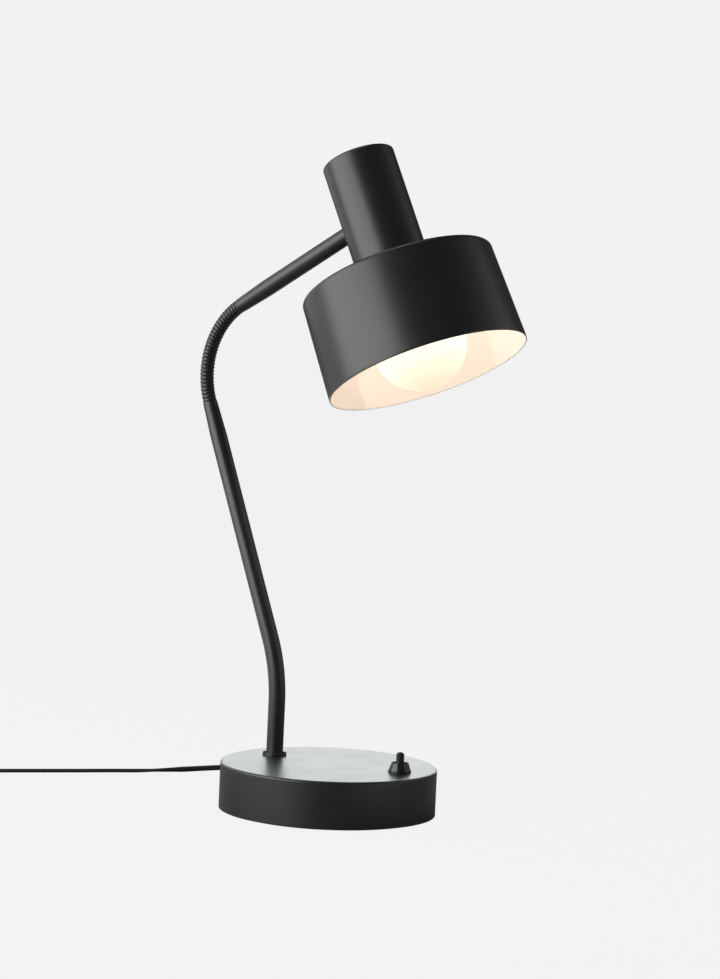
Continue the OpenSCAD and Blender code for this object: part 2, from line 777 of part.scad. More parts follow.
module holder_nipple() {
    color("silver") at_head() translate([0, 0, contact_z + 2])
        tube(holder_nipple_r, 3.5, holder_top + bracket_t + holder_nut_t - contact_z - 1.5);
}

module holder_nut() {
    color("silver") at_head() translate([0, 0, holder_top + bracket_t]) difference() {
        hexagon(14, holder_nut_t);
        translate([0, 0, -1]) cylinder(r = holder_nipple_r, h = holder_nut_t + 2);
    }
}

// ---- Bulb ----------------------------------------------------------------

// Half section of the envelope, shrunk by inset for its inner face
module envelope_half(inset) {
    r = bulb_r - inset;
    neck = neck_glass_r - inset;
    to_fillet = [glass_fillet_x, glass_fillet_z - bulb_mid] / (bulb_r + glass_fillet_r);
    touch = [to_fillet[0] * r, bulb_mid + to_fillet[1] * r];
    intersection() {
        translate([0, bulb_mid]) circle(r, $fn = 96);
        translate([0, bulb_mid - bulb_r]) square([bulb_r, bulb_d]);
    }
    difference() {
        polygon([[0, bulb_mid], touch, [neck, glass_fillet_z], [0, glass_fillet_z]]);
        translate([glass_fillet_x, glass_fillet_z]) circle(glass_fillet_r + inset, $fn = 256);
    }
    translate([0, glass_fillet_z - eps]) square([neck, cap_low - glass_fillet_z + 2 * eps]);
}

module bulb_glass() {
    color([1, 0.96, 0.86]) at_head() rotate_extrude($fn = 96) union() {
        difference() {
            envelope_half(0);
            envelope_half(glass_t);
            translate([0, cap_low - 1]) square([neck_glass_r - glass_t, 3]);
        }
        translate([cap_d / 2 - 3, cap_low]) square([glass_t, 8]);
        translate([cap_d / 2 - 3, cap_low - 1]) square([2, 1 + eps]);
    }
}

filament_z = 27.5;
module bulb_mount() {
    color([0.9, 0.95, 0.95]) at_head() {
        translate([0, 0, 40]) cylinder(r1 = 2, r2 = 5.5, h = cap_low + 6 - 40);
        for (side = [-1, 1]) translate([side * 3, 0, filament_z])
            cylinder(r = 0.4, h = cap_low + 2 - filament_z);
    }
}

module bulb_filament() {
    color("darkorange") at_head() translate([0, 0, filament_z]) rotate([-90, 0, 0])
        rotate_extrude(angle = 180) translate([3, 0]) circle(0.4, $fn = 24);
}

module bulb_cap() {
    ridges = floor((cap_h - 4) / thread_pitch);
    ridge_mid = cap_d / 2 - thread_ridge_r;
    color("silver") at_head() rotate_extrude($fn = 96) difference() {
        union() {
            translate([0, cap_low]) square([ridge_mid, cap_h]);
            for (k = [0:ridges]) translate([ridge_mid, cap_low + 2 + k * thread_pitch])
                circle(thread_ridge_r, $fn = 24);
        }
        translate([0, cap_low - 1]) square([ridge_mid - 0.6, cap_h]);
        translate([0, cap_low]) square([3, cap_h + 1]);
    }
}

module bulb_insulator() {
    color([0.1, 0.1, 0.12]) at_head() translate([0, 0, cap_top])
        cylinder(r1 = cap_d / 2 - 2.5, r2 = 6, h = insulator_h);
}

module bulb_tip() {
    color("silver") at_head() translate([0, 0, contact_z - tip_h]) cylinder(r1 = 4.7, r2 = 3.6, h = tip_h);
}

// ---- Free cord ------------------------------------------------------------

module cord() { color([0.09, 0.09, 0.09]) sweep(cord_route, cord_section); }
module cord_tail() { color([0.09, 0.09, 0.09]) sweep(tail_route, cord_section); }

module cord_coil() {
    color([0.11, 0.11, 0.11]) at_coil() tube(coil_out_r, coil_in_r, coil_h, $fn = 96);
}

tie_angle = 20;
tie_w = 4;
module cord_tie() {
    band = coil_out_r - coil_in_r + 0.2;
    color([0.2, 0.2, 0.2]) translate([coil_centre[0], coil_centre[1], 0]) rotate([0, 0, tie_angle])
        translate([coil_in_r - 0.3 - tie_t, -tie_w / 2, 0]) difference() {
            cube([band + 2 * tie_t + 0.8, tie_w, coil_h + 2 * tie_t + 0.1]);
            translate([tie_t, -1, tie_t - 0.05]) cube([band + 0.8, tie_w + 2, coil_h + 0.1]);
        }
}

module plug_body() {
    color([0.08, 0.08, 0.08]) at_plug() {
        cylinder(r1 = 2.8, r2 = 4.5, h = plug_relief_l);
        translate([0, 0, plug_relief_l - 2]) hull() {
            cylinder(r = 5, h = 2, $fn = 32);
            for (side = [-1, 1]) translate([0, side * (plug_w - plug_t) / 2, 8])
                cylinder(d = plug_t, h = plug_l - 8, $fn = 32);
        }
    }
}

module plug_pins() {
    color("silver") at_plug() for (side = [-1, 1])
        translate([0, side * pin_spacing / 2, plug_relief_l + plug_l - 2]) {
            cylinder(r = pin_r, h = pin_l - 1);
            translate([0, 0, pin_l - 1 - eps]) cylinder(r1 = pin_r, r2 = pin_r - 0.8, h = 1);
        }
}

base_cover();
base_weight();
base_plate();
base_pad();
base_screws();
stem_collar();
stem_tube();
stem_washer();
stem_nut();
stem_lead();
switch_body();
switch_nut();
switch_button();
switch_spring();
switch_tabs();
switch_leads();
cord_bushing();
cord_clamp();
clamp_screws();
terminal_block();
base_lead();
neck_root();
neck_link_1();
neck_link_2();
neck_link_3();
neck_link_4();
neck_link_5();
neck_tip();
arm_tube();
arm_nipple();
arm_saddle();
arm_nut();
arm_lead();
holder_bracket();
holder_cover();
shade();
holder_ring();
holder_body();
holder_shell();
holder_contact();
holder_nipple();
holder_nut();
bulb_glass();
bulb_mount();
bulb_filament();
bulb_cap();
bulb_insulator();
bulb_tip();
cord();
cord_coil();
cord_tail();
cord_tie();
plug_body();
plug_pins();
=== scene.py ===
# %% [markdown]
# # A gooseneck desk lamp, finished in Blender
# The frame of the lamp is loaded ready made: every rigid part is already at its place and size.
# This lesson adds what the eye sees: the soft cord, the ribbed hose of the neck, the pressed shade
# with its white inside, the lit bulb, and a procedural finish for every part.

# %% Load the frame
import json
import math

import bpy
from mathutils import Matrix, Vector


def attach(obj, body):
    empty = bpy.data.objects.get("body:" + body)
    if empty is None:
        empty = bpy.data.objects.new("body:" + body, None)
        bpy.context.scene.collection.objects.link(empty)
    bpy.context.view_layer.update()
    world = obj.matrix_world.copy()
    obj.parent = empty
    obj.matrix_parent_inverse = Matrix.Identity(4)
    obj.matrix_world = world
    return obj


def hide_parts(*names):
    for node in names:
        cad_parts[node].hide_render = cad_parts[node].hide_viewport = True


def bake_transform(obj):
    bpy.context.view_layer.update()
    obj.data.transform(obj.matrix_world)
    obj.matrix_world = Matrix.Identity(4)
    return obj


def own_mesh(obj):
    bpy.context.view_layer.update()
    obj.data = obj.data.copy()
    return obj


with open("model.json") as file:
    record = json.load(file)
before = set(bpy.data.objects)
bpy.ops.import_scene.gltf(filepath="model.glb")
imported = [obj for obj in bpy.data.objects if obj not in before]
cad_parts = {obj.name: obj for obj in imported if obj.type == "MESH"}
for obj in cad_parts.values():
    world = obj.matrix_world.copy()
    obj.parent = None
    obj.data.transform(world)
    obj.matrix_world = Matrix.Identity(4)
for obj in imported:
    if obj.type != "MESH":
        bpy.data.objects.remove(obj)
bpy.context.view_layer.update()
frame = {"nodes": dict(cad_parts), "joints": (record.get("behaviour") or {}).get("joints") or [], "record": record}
JOINTS = {joint["name"]: joint for joint in frame["joints"]}
MM = 0.001

# %% [markdown]
# ## The camera
# A lamp like this is best looked at from far away through a long lens, so that upright edges stay
# nearly parallel. The camera stands to the right front of the lamp, a little above the shade's
# rim, and is tipped by a small roll. What it takes in is set by its place, its target and its
# lens.

# %% Camera
CAMERA_AZIMUTH = math.radians(37.33)
CAMERA_ELEVATION = math.radians(10.13)
CAMERA_DISTANCE = 1.9
CAMERA_TARGET = Vector((0.02443, -0.01077, 0.22825))
CAMERA_ROLL = math.radians(2.607)
LENS = 98.86
SENSOR = 36

level = math.cos(CAMERA_ELEVATION) * CAMERA_DISTANCE
stand = Vector((math.sin(CAMERA_AZIMUTH) * level, -math.cos(CAMERA_AZIMUTH) * level,
                math.sin(CAMERA_ELEVATION) * CAMERA_DISTANCE))
camera_data = bpy.data.cameras.new("camera")
camera_data.lens = LENS
camera_data.sensor_width = SENSOR
camera = bpy.data.objects.new("camera", camera_data)
bpy.context.scene.collection.objects.link(camera)
gaze = (CAMERA_TARGET - stand).to_track_quat("-Z", "Y")
camera.matrix_world = (Matrix.Translation(stand) @ gaze.to_matrix().to_4x4()
                       @ Matrix.Rotation(CAMERA_ROLL, 4, "Z"))
bpy.context.scene.camera = camera
CAMERA_RIGHT = Vector((math.cos(CAMERA_AZIMUTH), math.sin(CAMERA_AZIMUTH), 0))
CAMERA_AWAY = Vector((-math.sin(CAMERA_AZIMUTH), math.cos(CAMERA_AZIMUTH), 0))
print("camera stands at", [round(value, 3) for value in stand])

# %% [markdown]
# ## The cord
# The lamp has a flat cord with two cores side by side. It leaves the back of the base through a
# strain relief, comes down to the table, and runs off to one side. The rest of its 1.6 m is wound
# into a flat coil of two layers, held by a tie, with the plug beside it. A mesh swept along the
# route keeps the flat section, which a round curve bevel would lose.

# %% Cord route
CORD_WIDTH = 4.8 * MM
CORD_THICKNESS = 2.4 * MM
CORD_ROUTE = [
    (-59, 77, 9), (-63, 82.5, 9), (-67, 87.5, 8.7), (-75, 96, 8.4), (-85, 102, 8),
    (-96.5, 105, 7.5), (-108, 105, 6.9), (-119.5, 102, 6.2), (-130, 96, 5.5), (-138, 88, 4.8),
    (-146, 77.5, 4.1), (-154, 67, 3.5), (-162, 56.5, 2.9), (-169.5, 46.5, 2.3),
    (-177.5, 36, 1.8), (-185.5, 25.5, 1.4), (-193, 15, 1.2), (-201, 5, 1.2), (-209, -5.5, 1.2),
    (-216.5, -16, 1.2), (-224.5, -26.5, 1.2), (-232.5, -37, 1.2), (-240.5, -47.5, 1.2),
    (-248.5, -58, 1.2), (-256.5, -68.5, 1.2), (-264, -78.5, 1.3), (-272, -89, 1.5),
    (-280, -99.5, 1.7), (-287.5, -110, 1.8)]
TAIL_ROUTE = [
    (-278.1, -163.3, 4.2), (-272.6, -165.9, 4.2), (-266.8, -168.3, 4.1), (-260.8, -170.5, 3.6),
    (-254.6, -172.5, 2.9), (-248.2, -174.2, 2.9), (-241.8, -175.5, 4.2), (-235.4, -176.4, 6),
    (-229, -176.8, 7)]
COIL_CENTRE = (-262, -133)
COIL_MID_RADIUS = 27
COIL_COLUMNS = 4
COIL_PITCH = 4.9
COIL_LEVELS = (1.8, 4.2)
COIL_TURN_STEPS = 60
COIL_STEP_OVER = 0.25


def smooth_through(points, steps):
    """Points along a smooth curve that passes through all of the given ones."""
    given = [Vector(point) for point in points]
    ends = [2 * given[0] - given[1]] + given + [2 * given[-1] - given[-2]]
    found = []
    for k in range(1, len(ends) - 2):
        a, b, c, d = ends[k - 1:k + 3]
        for step in range(steps):
            t = step / steps
            found.append(0.5 * (2 * b + (c - a) * t + (2 * a - 5 * b + 4 * c - d) * t * t
                                + (3 * b - a - 3 * c + d) * t ** 3))
    found.append(given[-1])
    return found


def coil_turns(start_angle, end_angle):
    """The wound part: inwards along the lower layer, then outwards along the upper one.

    A turn keeps its radius, and steps over to the next column in its last quarter.
    """
    outer = COIL_MID_RADIUS + (COIL_COLUMNS - 1) * COIL_PITCH / 2
    columns = [outer - k * COIL_PITCH for k in range(COIL_COLUMNS)]
    radii = columns + columns[::-1]
    levels = [COIL_LEVELS[0]] * COIL_COLUMNS + [COIL_LEVELS[1]] * COIL_COLUMNS
    total = 2 * COIL_COLUMNS - 1 + (end_angle - start_angle) / math.tau
    found = []
    for step in range(round(total * COIL_TURN_STEPS) + 1):
        turn = step / COIL_TURN_STEPS
        column = min(int(turn), len(radii) - 1)
        following = min(column + 1, len(radii) - 1)
        part = min(max((turn - column - 1 + COIL_STEP_OVER) / COIL_STEP_OVER, 0), 1)
        blend = part * part * (3 - 2 * part)
        radius = radii[column] + (radii[following] - radii[column]) * blend
        height = levels[column] + (levels[following] - levels[column]) * blend
        angle = start_angle + turn * math.tau
        found.append(Vector((COIL_CENTRE[0] + radius * math.cos(angle),
                             COIL_CENTRE[1] + radius * math.sin(angle), height)))
    return found


def angle_at(point):
    return math.atan2(point[1] - COIL_CENTRE[1], point[0] - COIL_CENTRE[0]) % math.tau


lead_in = smooth_through(CORD_ROUTE, 6)
lead_out = smooth_through(TAIL_ROUTE, 4)
turns = coil_turns(angle_at(CORD_ROUTE[-1]), angle_at(TAIL_ROUTE[0]))
cord_path = [point * MM for point in lead_in[:-1] + turns[1:-1] + lead_out]
cord_length = sum((b - a).length for a, b in zip(cord_path, cord_path[1:]))
print("cord length", round(cord_length, 3), "m")

# %% [markdown]
# ## Sweeping the section
# The section is two round cores that touch, with a shallow groove between them. Where the cord
# lies on the table its wide side is level. Where it still hangs between the base and the table, it
# is free to turn, and stands tipped towards its edge as far as its height above the table allows.

# %% Cord mesh
TIP_ANGLE = math.radians(50)
CORE_ARC_FROM = -100
CORE_ARC_TO = 100
CORE_ARC_STEPS = 8
GROOVE_SHOULDER = (0.35, 0.92)
GROOVE_FLOOR = 0.72


def start_clean():
    """Leaves edit mode and deselects everything."""
    if bpy.context.object and bpy.context.object.mode != "OBJECT":
        bpy.ops.object.mode_set(mode="OBJECT")
    bpy.ops.object.select_all(action="DESELECT")


def built(name, vertices, faces):
    """A piece made of given vertices and faces, all turned outwards."""
    mesh = bpy.data.meshes.new(name)
    mesh.from_pydata(vertices, [], faces)
    mesh.validate()
    piece = bpy.data.objects.new(name, mesh)
    bpy.context.scene.collection.objects.link(piece)
    start_clean()
    bpy.context.view_layer.objects.active = piece
    bpy.ops.object.mode_set(mode="EDIT")
    bpy.ops.mesh.select_all(action="SELECT")
    bpy.ops.mesh.normals_make_consistent(inside=False)
    bpy.ops.object.mode_set(mode="OBJECT")
    return piece


def twin_section(width, thickness):
    """Outline of two cores side by side, with a groove along the middle of both wide sides."""
    core = thickness / 2
    shift = width / 2 - core
    half = []
    for step in range(CORE_ARC_STEPS + 1):
        share = step / CORE_ARC_STEPS
        angle = math.radians(CORE_ARC_FROM + (CORE_ARC_TO - CORE_ARC_FROM) * share)
        half.append((shift + core * math.cos(angle), core * math.sin(angle)))
    half.append((shift * GROOVE_SHOULDER[0], core * GROOVE_SHOULDER[1]))
    half.append((0, core * GROOVE_FLOOR))
    other = [(-x, -y) for x, y in half]
    return half + other


def swept(name, path, section):
    """A closed mesh along the path. Its section lies level on the table, and tips above it."""
    vertices, faces = [], []
    count = len(section)
    for k, point in enumerate(path):
        along = (path[min(k + 1, len(path) - 1)] - path[max(k - 1, 0)]).normalized()
        level_side = Vector((0, 0, 1)).cross(along).normalized()
        room = min(max(2 * point.z / CORD_THICKNESS - 1, 0), math.sin(TIP_ANGLE))
        tip = math.asin(room) * (k < len(lead_in))
        side = Matrix.Rotation(tip, 3, along) @ level_side
        up = along.cross(side)
        vertices += [point + side * x + up * y for x, y in section]
    for k in range(len(path) - 1):
        for j in range(count):
            n = (j + 1) % count
            faces.append((k * count + j, k * count + n, (k + 1) * count + n, (k + 1) * count + j))
    faces.append(tuple(reversed(range(count))))
    last = (len(path) - 1) * count
    faces.append(tuple(last + j for j in range(count)))
    piece = built(name, vertices, faces)
    piece.data.shade_smooth()
    return piece


flex = swept("twin_cord", cord_path, twin_section(CORD_WIDTH, CORD_THICKNESS))
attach(flex, "base")
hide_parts("cord", "cord_coil", "cord_tail")
print("cord faces", len(flex.data.polygons))

# %% [markdown]
# ## Places measured on the frame
# The shade, its cover and the bulb share one tilted axis. The bulb's slide joint gives its
# direction, and the spans of the parts along it give the levels that the new pieces are made to.

# %% Head axis and levels
HEAD_UP = -Vector(JOINTS["bulb_out"]["axis"]).normalized()
HEAD_SIDE = Vector((0, 1, 0))
HEAD_FRONT = HEAD_SIDE.cross(HEAD_UP).normalized()


def span(node, direction):
    """Lowest and highest reach of a node along a direction."""
    reach = [vertex.co.dot(direction) for vertex in frame["nodes"][node].data.vertices]
    return min(reach), max(reach)


shade_low, shade_high = span("shade", HEAD_UP)
shade_back, shade_front = span("holder_cover", HEAD_FRONT)
AXIS_X = (shade_back + shade_front) / 2
HEAD_ORIGIN = HEAD_FRONT * AXIS_X + HEAD_UP * shade_low
HEAD_MATRIX = Matrix((HEAD_FRONT, HEAD_SIDE, HEAD_UP)).transposed().to_4x4()
HEAD_MATRIX.translation = HEAD_ORIGIN
SHADE_HEIGHT = shade_high - shade_low
RIM_RADIUS = (span("shade", HEAD_SIDE)[1] - span("shade", HEAD_SIDE)[0]) / 2
print("shade height", round(SHADE_HEIGHT, 4), "rim radius", round(RIM_RADIUS, 4))

# %% [markdown]
# ## Tools for shaping
# New parts are modelled as by hand: a ring is added, then extruded and scaled ring by ring, as on
# a potter's wheel. Everything is deselected first, because the loaded parts start out selected.
# The part is made upright at the origin and then its mesh is carried to its tilted place, so that
# the object itself stays unturned.

# %% Modelling helpers
MERGE_DISTANCE = 2e-6


def turned(name, rings, segments=160, closed=False):
    """A surface turned about Z through rings of (radius, height). Closed joins last to first."""
    start_clean()
    radius, height = rings[0]
    bpy.ops.mesh.primitive_circle_add(vertices=segments, radius=radius, location=(0, 0, 0))
    piece = bpy.context.object
    piece.name = name
    bpy.ops.object.mode_set(mode="EDIT")
    bpy.ops.mesh.select_all(action="SELECT")
    bpy.ops.transform.translate(value=(0, 0, height))
    for next_radius, next_height in rings[1:] + rings[:1] * closed:
        rise = (0, 0, next_height - height)
        bpy.ops.mesh.extrude_edges_move(TRANSFORM_OT_translate={"value": rise})
        scale = next_radius / radius
        bpy.ops.transform.resize(value=(scale, scale, 1), center_override=(0, 0, next_height))
        radius, height = next_radius, next_height
    bpy.ops.mesh.select_all(action="SELECT")
    bpy.ops.mesh.remove_doubles(threshold=MERGE_DISTANCE)
    bpy.ops.mesh.normals_make_consistent(inside=False)
    bpy.ops.object.mode_set(mode="OBJECT")
    piece.select_set(False)
    return piece


def modify(piece, kind, **settings):
    """Adds a modifier and applies it at once."""
    start_clean()
    bpy.context.view_layer.objects.active = piece
    piece.select_set(True)
    modifier = piece.modifiers.new(kind.lower(), kind)
    for key, value in settings.items():
        setattr(modifier, key, value)
    bpy.ops.object.modifier_apply(modifier=modifier.name)
    return piece


def smooth(piece, degrees):
    """Shades the piece smooth, and leaves edges sharper than the angle crisp."""
    start_clean()
    bpy.context.view_layer.objects.active = piece
    piece.select_set(True)
    bpy.ops.object.shade_smooth_by_angle(angle=math.radians(degrees))
    piece.select_set(False)
    return piece


def place(piece, matrix):
    """Carries the mesh to its place and leaves the object at the origin."""
    piece.data.transform(matrix)
    piece.data.update()
    return piece


def arc_rings(centre_radius, centre_height, radius, from_degrees, to_degrees, steps):
    """Ring sizes along a rounded corner."""
    found = []
    for step in range(steps + 1):
        angle = math.radians(from_degrees + (to_degrees - from_degrees) * step / steps)
        found.append((centre_radius + radius * math.cos(angle),
                      centre_height + radius * math.sin(angle)))
    return found

# %% [markdown]
# ## The shade
# A real drum shade is pressed from one thin sheet: a flat top with a hole for the lampholder, a
# small corner radius, a nearly straight wall, and a rim folded back for stiffness. Turning the
# whole closed outline at once, outside and inside, gives a true wall. The faces of the inside and
# of the rim's fold then take the white enamel, and all others the black coat.

# %% Shade
SHADE_WALL = 0.8 * MM
SHADE_EDGE = 3 * MM
HOLE_RADIUS = 20.2 * MM
TOP_RADIUS = 68 * MM
TOP_RING = 0.6
RIM_FOLD = 0.5 * MM
RIM_HEIGHT = 2.2 * MM
WAIST_INSET = 0.2 * MM
WAIST_SHARE = 0.12
INWARDS = 0.4
FOLD_INWARDS = 0.5
CORNER_INWARDS = 0.3

corner_r = TOP_RADIUS - SHADE_EDGE
corner_z = SHADE_HEIGHT - SHADE_EDGE
under_top = SHADE_HEIGHT - SHADE_WALL
waist_r = RIM_RADIUS - WAIST_INSET
waist_z = SHADE_HEIGHT * WAIST_SHARE
outside = [(HOLE_RADIUS, SHADE_HEIGHT), (corner_r * TOP_RING, SHADE_HEIGHT)]
outside += arc_rings(corner_r, corner_z, SHADE_EDGE, 90, 0, 8)
outside += [(waist_r, waist_z), (RIM_RADIUS, RIM_HEIGHT)]
rim = arc_rings(RIM_RADIUS - RIM_FOLD, RIM_FOLD, RIM_FOLD, 0, -180, 6)
inside = [(RIM_RADIUS - 2 * RIM_FOLD, RIM_HEIGHT), (waist_r - SHADE_WALL, waist_z)]
inside += arc_rings(corner_r, corner_z, SHADE_EDGE - SHADE_WALL, 0, 90, 6)
inside += [(corner_r * TOP_RING, under_top), (HOLE_RADIUS, under_top)]
shade = turned("shade_shell", outside + rim + inside, segments=192, closed=True)
smooth(shade, 35)
for face in shade.data.polygons:
    height, rise = face.center.z, face.normal.z
    out = face.normal.dot(Vector((face.center.x, face.center.y, 0)).normalized())
    looks_in = out < -INWARDS and height < corner_z
    in_fold = out < FOLD_INWARDS and height < 2 * RIM_FOLD
    looks_down = rise < -INWARDS and height > SHADE_HEIGHT / 2
    corner_in = out < rise < CORNER_INWARDS and height >= corner_z
    face.material_index = 1 if looks_in or in_fold or looks_down or corner_in else 0
place(shade, HEAD_MATRIX)
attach(shade, "head")
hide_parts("shade")
print("shade faces", len(shade.data.polygons))

# %% [markdown]
# ## The ribbed neck
# The neck is a metal hose: a wound strip whose turns show as close round ribs. It bends at six
# joints, and it is made as six skins, one around each joint, that meet inside the links between
# them. Each skin is a ribbed tube carried along the neck's arc, from the middle of the link below
# its joint to the middle of the link above.

# %% Neck arc from the joints
NECK_JOINTS = sorted((joint for joint in frame["joints"] if joint["name"].startswith("neck_")),
                     key=lambda joint: joint["pos_m"][2])
pivots = [Vector(joint["pos_m"]) for joint in NECK_JOINTS]


def circle_through(a, b, c):
    """Centre and radius of the circle through three points that lie in the XZ plane."""
    ab, ac = b - a, c - a
    cross = 2 * (ab.x * ac.z - ab.z * ac.x)
    x = (ac.z * ab.length_squared - ab.z * ac.length_squared) / cross
    z = (ab.x * ac.length_squared - ac.x * ab.length_squared) / cross
    return Vector((a.x + x, 0, a.z + z)), math.hypot(x, z)


NECK_CENTRE, NECK_RADIUS = circle_through(pivots[0], pivots[2], pivots[5])


def heading(point):
    """How far the neck has turned from vertical at a point of its arc."""
    return math.atan2(point.z - NECK_CENTRE.z, NECK_CENTRE.x - point.x)


PIVOT_STEP = (heading(pivots[5]) - heading(pivots[0])) / 5
NECK_FROM = heading(pivots[0]) - PIVOT_STEP / 2
NECK_TO = heading(pivots[5]) + PIVOT_STEP / 2
print("neck arc radius", round(NECK_RADIUS, 4),
      "turns", round(math.degrees(NECK_TO - NECK_FROM), 1))

# %% Ribbed skins
RIB_COUNT = 30
RIB_STEPS = 10
RIB_DEPTH = 0.62 * MM
RIB_ROUNDNESS = 0.6
RIB_OUTER = 5.0 * MM
HOSE_WALL = 0.5 * MM
HOSE_SIDES = 40


def arc_direction(turn):
    """The direction from the centre of the neck's arc to the point with that heading."""
    return Vector((-math.cos(turn), 0, math.sin(turn)))


def hose_skin(name, from_heading, to_heading):
    """A ribbed tube along the neck's arc between two headings."""
    ribs_per_turn = RIB_COUNT / (NECK_TO - NECK_FROM)
    first = round((from_heading - NECK_FROM) * ribs_per_turn * RIB_STEPS)
    last = round((to_heading - NECK_FROM) * ribs_per_turn * RIB_STEPS)
    vertices, faces = [], []
    for step in range(first, last + 1):
        turn = NECK_FROM + step / (ribs_per_turn * RIB_STEPS)
        crest = abs(math.sin(math.pi * step / RIB_STEPS)) ** RIB_ROUNDNESS
        radius = RIB_OUTER - RIB_DEPTH * (1 - crest)
        outwards = arc_direction(turn)
        centre = NECK_CENTRE + NECK_RADIUS * outwards
        for k in range(HOSE_SIDES):
            angle = k * math.tau / HOSE_SIDES
            vertices.append(centre + radius * (outwards * math.cos(angle)
                                               + Vector((0, 1, 0)) * math.sin(angle)))
    rings = last - first
    for k in range(rings):
        for j in range(HOSE_SIDES):
            n = (j + 1) % HOSE_SIDES
            faces.append((k * HOSE_SIDES + j, (k + 1) * HOSE_SIDES + j,
                          (k + 1) * HOSE_SIDES + n, k * HOSE_SIDES + n))
    skin = built(name, vertices, faces)
    modify(skin, "SOLIDIFY", thickness=HOSE_WALL, offset=-1)
    return smooth(skin, 60)


LINK_NODES = ("neck_root", "neck_link_1", "neck_link_2", "neck_link_3", "neck_link_4",
              "neck_link_5")
neck_skins = []
for k, joint in enumerate(NECK_JOINTS):
    middle = heading(pivots[k])
    skin = hose_skin(f"neck_skin_{k + 1}", middle - PIVOT_STEP / 2, middle + PIVOT_STEP / 2)
    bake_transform(skin)
    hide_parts(LINK_NODES[k])
    neck_skins.append(skin)
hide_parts("neck_tip")
print("neck skins", len(neck_skins))

# %% [markdown]
# ## The bulb
# The frosted globe is blown glass: a ball that runs into a narrow neck through a hollow curve. Its
# outline is turned like the shade's. Frosted glass hides what is behind it, and it is lit from
# within, so its finish is mostly light. A small lamp at its centre throws that light onto the
# white inside of the shade; the glass lets it out because it casts no shadow.

# %% Bulb globe
bulb_low, bulb_high = (level - shade_low for level in span("bulb_glass", HEAD_UP))
BULB_RADIUS = (span("bulb_glass", HEAD_SIDE)[1] - span("bulb_glass", HEAD_SIDE)[0]) / 2
BULB_MIDDLE = bulb_low + BULB_RADIUS
BULB_NECK = 12.9 * MM
BULB_PIP = -89.2
HOLLOW_RADIUS = 30 * MM
hollow_x = BULB_NECK + HOLLOW_RADIUS
hollow_z = BULB_MIDDLE + math.sqrt((BULB_RADIUS + HOLLOW_RADIUS) ** 2 - hollow_x ** 2)
meet = math.degrees(math.atan2(hollow_z - BULB_MIDDLE, hollow_x))
ball = arc_rings(0, BULB_MIDDLE, BULB_RADIUS, BULB_PIP, meet, 44)
hollow = arc_rings(hollow_x, hollow_z, HOLLOW_RADIUS, 180 + meet, 180, 12)[1:]
globe = turned("bulb_globe", ball + hollow + [(BULB_NECK, bulb_high)], segments=96)
start_clean()
bpy.context.view_layer.objects.active = globe
globe.select_set(True)
bpy.ops.object.mode_set(mode="EDIT")
bpy.ops.mesh.select_all(action="DESELECT")
bpy.ops.mesh.select_mode(type="EDGE")
bpy.ops.mesh.select_non_manifold(extend=False)
bpy.ops.mesh.edge_face_add()
bpy.ops.mesh.select_all(action="SELECT")
bpy.ops.mesh.normals_make_consistent(inside=False)
bpy.ops.object.mode_set(mode="OBJECT")
smooth(globe, 50)
place(globe, HEAD_MATRIX)
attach(globe, "bulb")
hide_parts("bulb_glass")
globe.visible_shadow = False
GLOBE_CENTRE = HEAD_MATRIX @ Vector((0, 0, BULB_MIDDLE))
print("globe radius", round(BULB_RADIUS, 4), "faces", len(globe.data.polygons))

# %% [markdown]
# ## The spring under the button
# Pressing the button shortens a small coil spring inside the switch. A copy of the spring, with a
# mesh of its own, stands in for the loaded part and rides with the base. Its height and the
# button's travel are read from the frame; the copy keeps its full height.

# %% Switch spring
spring = bpy.data.objects.new("switch_coil", frame["nodes"]["switch_spring"].data.copy())
bpy.context.scene.collection.objects.link(spring)
spring_low, spring_high = span("switch_spring", Vector((0, 0, 1)))
travel = JOINTS["switch_press"]["range_m"][1]
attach(spring, "base")
1 - travel / (spring_high - spring_low)
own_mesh(spring)
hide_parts("switch_spring")
print("spring height", round(spring_high - spring_low, 4))

# %% [markdown]
# ## Shader sums
# Finishes are built as sums of patterns. Wrapping a node's output in a small class lets a finish
# be written as a Python expression, and every operator adds its Math node. All other nodes come
# from one method, which takes the node's type, its settings, and the values or links of its
# sockets.

# %% Shader class
class Signal:
    """A node's output, which adds Math nodes when it is used in a sum."""

    def __init__(self, finish, socket):
        self.finish = finish
        self.socket = socket

    def math(self, operation, first, second):
        return self.finish.node("ShaderNodeMath", {"operation": operation}, {0: first, 1: second})

    def __add__(self, other):
        return self.math("ADD", self, other)

    def __radd__(self, other):
        return self.math("ADD", other, self)

    def __sub__(self, other):
        return self.math("SUBTRACT", self, other)

    def __rsub__(self, other):
        return self.math("SUBTRACT", other, self)

    def __mul__(self, other):
        return self.math("MULTIPLY", self, other)

    def __rmul__(self, other):
        return self.math("MULTIPLY", other, self)


